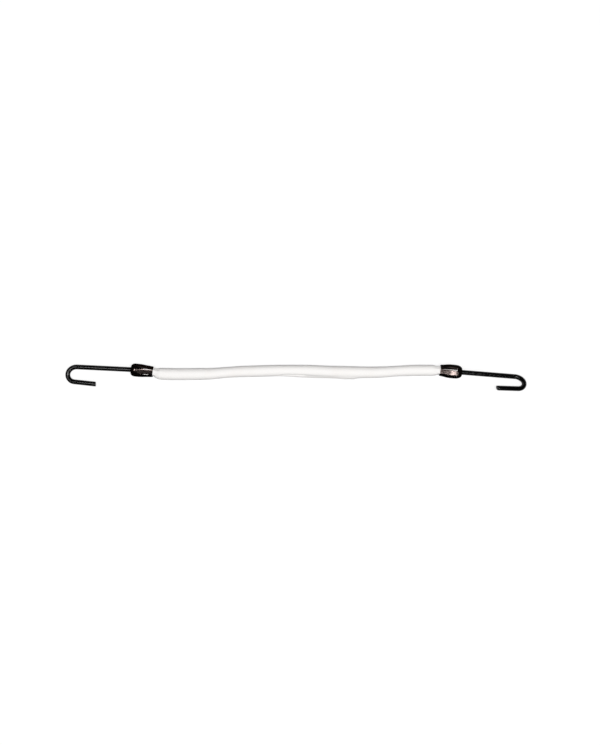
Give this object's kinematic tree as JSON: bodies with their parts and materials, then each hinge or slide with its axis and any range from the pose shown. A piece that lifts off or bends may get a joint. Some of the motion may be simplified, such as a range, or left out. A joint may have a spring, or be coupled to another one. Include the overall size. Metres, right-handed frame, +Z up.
{
  "type": "bungee cord",
  "caption": "Short elastic shock cord in a white braided sheath, with a black claw cap crimped on each end and a black coated wire hook that swivels in each cap.",
  "frame": {"origin": "on the surface that the cord lies on, under the middle of its whole length and width", "axes": "+X along the cord from the left hook to the right hook, +Y in the surface away from the hooks' open legs, +Z up"},
  "size_m": [0.3586, 0.0214, 0.0125],
  "materials": {
    "sheath": "tight white braid of polyester yarn, slightly glossy",
    "rubber_core": "plain natural rubber, dusted",
    "black_cap": "stamped steel sheet in glossy black lacquer",
    "hook_wire": "bright drawn steel wire",
    "black_vinyl": "glossy black dipped vinyl"
  },
  "bodies": {
    "left_end": {"left_claw_cap": "black_cap", "braided_sheath": "sheath", "rubber_thread_01": "rubber_core", "rubber_thread_02": "rubber_core", "rubber_thread_03": "rubber_core", "rubber_thread_04": "rubber_core", "rubber_thread_05": "rubber_core", "rubber_thread_06": "rubber_core", "rubber_thread_07": "rubber_core", "rubber_thread_08": "rubber_core", "rubber_thread_09": "rubber_core", "rubber_thread_10": "rubber_core", "rubber_thread_11": "rubber_core", "rubber_thread_12": "rubber_core", "rubber_thread_13": "rubber_core", "rubber_thread_14": "rubber_core", "rubber_thread_15": "rubber_core", "rubber_thread_16": "rubber_core", "rubber_thread_17": "rubber_core", "rubber_thread_18": "rubber_core", "rubber_thread_19": "rubber_core", "rubber_thread_20": "rubber_core", "rubber_thread_21": "rubber_core"},
    "right_end": {"right_claw_cap": "black_cap"},
    "left_hook": {"left_hook_wire": "hook_wire", "left_hook_coating": "black_vinyl"},
    "right_hook": {"right_hook_wire": "hook_wire", "right_hook_coating": "black_vinyl"}
  },
  "joints": [
    {"name": "stretch", "type": "slide", "parent": "left_end", "child": "right_end", "axis": [1, 0, 0], "range_m": [0, 0.2], "stiffness_N_per_m": 450, "deforming": ["braided_sheath", "rubber_thread_01", "rubber_thread_02", "rubber_thread_03", "rubber_thread_04", "rubber_thread_05", "rubber_thread_06", "rubber_thread_07", "rubber_thread_08", "rubber_thread_09", "rubber_thread_10", "rubber_thread_11", "rubber_thread_12", "rubber_thread_13", "rubber_thread_14", "rubber_thread_15", "rubber_thread_16", "rubber_thread_17", "rubber_thread_18", "rubber_thread_19", "rubber_thread_20", "rubber_thread_21"]},
    {"name": "left_swivel", "type": "hinge", "parent": "left_end", "child": "left_hook", "pos_m": [-0.12795, 0.00595, 0.00498], "axis": [-0.9969, 0.0488, -0.0624], "continuous": true},
    {"name": "right_swivel", "type": "hinge", "parent": "right_end", "child": "right_hook", "pos_m": [0.129, 0.00382, 0.00512], "axis": [0.9939, -0.0791, -0.0771], "continuous": true}
  ]
}
